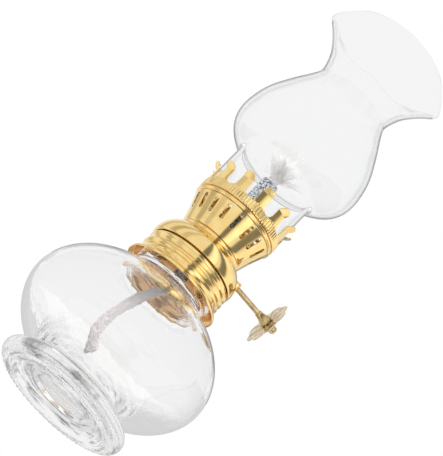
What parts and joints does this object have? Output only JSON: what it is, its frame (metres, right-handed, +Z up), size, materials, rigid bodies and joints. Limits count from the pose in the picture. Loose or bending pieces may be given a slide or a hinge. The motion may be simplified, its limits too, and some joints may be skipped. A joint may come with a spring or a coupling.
{
  "type": "oil lamp",
  "caption": "Small oil lamp: footed clear glass font, gilt brass screw-on burner with a side knob that raises a round wick, and a flared clear glass chimney.",
  "frame": {"origin": "centre of the foot's underside, on the surface the lamp stands on", "axes": "+Z up along the lamp's axis; the knob's spindle runs along +X"},
  "size_m": [0.0788, 0.0792, 0.1887],
  "materials": {
    "clear_glass": "clear, polished",
    "gilt_brass": "polished, lacquered",
    "pale_brass": "satin, embossed",
    "tinned_tube": "speckled tin plate",
    "steel_parts": "plain",
    "gasket": "matt fibre",
    "cotton": "braided cotton, frayed at the top"
  },
  "bodies": {
    "font": {"glass_font": "clear_glass"},
    "seal": {"neck_gasket": "gasket"},
    "burner": {"screw_collar": "gilt_brass", "tube_plate": "gilt_brass", "burner_dome": "gilt_brass", "burner_cone": "gilt_brass", "gallery_bead": "gilt_brass", "chimney_gallery": "gilt_brass", "air_diffuser": "gilt_brass", "wick_tube": "tinned_tube", "feed_bracket": "steel_parts", "spindle_bushing": "gilt_brass"},
    "wick_raiser": {"feed_spindle": "gilt_brass", "feed_wheel_inner": "steel_parts", "feed_wheel_outer": "steel_parts", "spindle_retainer": "steel_parts", "spindle_washer": "steel_parts", "knob_hub": "gilt_brass", "thumb_wheel": "pale_brass", "knob_nub": "gilt_brass"},
    "wick": {"wick_core": "cotton", "wick_tuft": "cotton", "wick_tail": "cotton"},
    "chimney": {"glass_chimney": "clear_glass"}
  },
  "joints": [
    {"name": "thread_lift", "type": "slide", "parent": "font", "child": "seal", "axis": [0, 0, 1], "range_m": [0, 0.0061]},
    {"name": "collar_unscrew", "type": "hinge", "parent": "seal", "child": "burner", "pos_m": [0, 0, 0.0655], "axis": [0, 0, 1], "range_deg": [0, 720]},
    {"name": "wick_knob_turn", "type": "hinge", "parent": "burner", "child": "wick_raiser", "pos_m": [0, -0.0052, 0.07752], "axis": [1, 0, 0], "range_deg": [-40, 135]},
    {"name": "wick_rise", "type": "slide", "parent": "burner", "child": "wick", "axis": [0, 0, 1], "range_m": [-0.002, 0.0066]},
    {"name": "chimney_lift", "type": "slide", "parent": "burner", "child": "chimney", "axis": [0, 0, 1], "range_m": [0, 0.035]}
  ],
  "couplings": [
    {"joint": "thread_lift", "follows": "collar_unscrew", "m_per_rad": 0.00047746},
    {"joint": "wick_rise", "follows": "wick_knob_turn", "m_per_rad": 0.00275}
  ]
}
